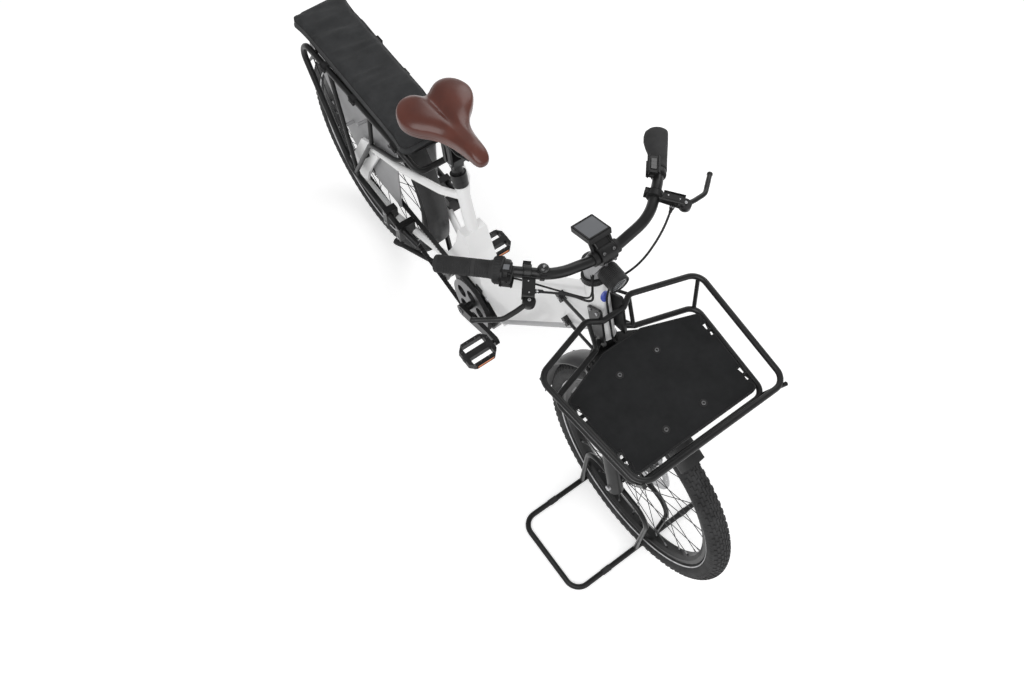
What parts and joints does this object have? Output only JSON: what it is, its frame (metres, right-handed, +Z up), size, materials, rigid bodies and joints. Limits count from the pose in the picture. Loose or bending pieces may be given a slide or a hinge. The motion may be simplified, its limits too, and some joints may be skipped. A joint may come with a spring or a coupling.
{
  "type": "electric cargo bicycle",
  "caption": "Electric longtail bicycle with a front rack, padded rear rack, mid motor and belt drive, held upright by a wire floor stand.",
  "frame": {"origin": "on the floor, in the centre plane, midway between the two axles", "axes": "+X to the rider's left, +Y to the rear, +Z up"},
  "size_m": [0.6428, 1.945, 1.0894],
  "materials": {
    "white_paint": "gloss",
    "grey_trim": "satin",
    "black_paint": "satin",
    "black_plastic": "matte",
    "rear_lens": "gloss",
    "rubber": "matte",
    "tyre_rubber": "matte",
    "steel": "brushed",
    "saddle_cover": "glossy leather look",
    "cushion_fabric": "woven"
  },
  "bodies": {
    "frame": {"head_tube": "white_paint", "headset": "black_paint", "down_tube": "white_paint", "battery_cover": "grey_trim", "seat_tube": "white_paint", "seat_stays": "white_paint", "chain_stays": "white_paint", "dropouts": "white_paint", "motor": "black_paint", "motor_bracket": "white_paint", "seatpost": "black_paint", "saddle_clamp": "black_paint", "saddle": "saddle_cover", "rear_rack_rails": "black_paint", "rail_clamps": "black_paint", "rear_rack_deck": "black_paint", "rear_cushion": "cushion_fabric", "side_panels": "grey_trim", "rear_mudguard": "black_plastic", "rear_light": "rear_lens", "rear_brake_caliper": "black_paint", "rear_axle": "steel", "drive_belt": "rubber", "front_rack_frame": "black_paint", "front_rack_board": "black_plastic", "rack_stay_blocks": "black_paint", "kickstand_mount": "black_paint"},
    "steering": {"fork_crown": "black_paint", "fork_lowers": "black_paint", "stem": "grey_trim", "handlebar": "black_paint", "grips": "rubber", "twist_shifter": "black_plastic", "brake_levers": "black_paint", "display": "black_plastic", "headlight": "black_plastic", "front_mudguard": "black_plastic", "front_axle": "steel", "front_brake_caliper": "black_paint", "floor_stand": "black_paint", "control_cables": "rubber"},
    "front_wheel": {"front_tyre": "tyre_rubber", "front_rim": "black_paint", "front_spokes": "black_paint", "front_hub": "black_paint", "front_brake_disc": "steel"},
    "rear_wheel": {"rear_tyre": "tyre_rubber", "rear_rim": "black_paint", "rear_spokes": "black_paint", "rear_hub": "black_paint", "rear_brake_disc": "steel", "rear_sprocket": "steel"},
    "crank": {"cranks": "black_paint", "front_sprocket": "steel"},
    "left_pedal": {"left_pedal": "black_plastic"},
    "right_pedal": {"right_pedal": "black_plastic"},
    "kickstand": {"kickstand": "black_paint"}
  },
  "joints": [
    {"name": "steering_turn", "type": "hinge", "parent": "frame", "child": "steering", "pos_m": [0, -0.59017, 0.32332], "axis": [0, 0.3665, 0.9304], "range_deg": [-40, 40]},
    {"name": "front_wheel_spin", "type": "hinge", "parent": "steering", "child": "front_wheel", "pos_m": [0, -0.6325, 0.34], "axis": [1, 0, 0], "continuous": true},
    {"name": "rear_wheel_spin", "type": "hinge", "parent": "frame", "child": "rear_wheel", "pos_m": [0, 0.6325, 0.34], "axis": [1, 0, 0], "continuous": true},
    {"name": "crank_spin", "type": "hinge", "parent": "frame", "child": "crank", "pos_m": [0, 0.0435, 0.298], "axis": [1, 0, 0], "continuous": true},
    {"name": "left_pedal_spin", "type": "hinge", "parent": "crank", "child": "left_pedal", "pos_m": [0.14, 0.20325, 0.23986], "axis": [1, 0, 0], "continuous": true},
    {"name": "right_pedal_spin", "type": "hinge", "parent": "crank", "child": "right_pedal", "pos_m": [-0.14, -0.11625, 0.35614], "axis": [1, 0, 0], "continuous": true},
    {"name": "kickstand_fold", "type": "hinge", "parent": "frame", "child": "kickstand", "pos_m": [0, 0.2125, 0.205], "axis": [-1, 0, 0], "range_deg": [0, 88]}
  ]
}
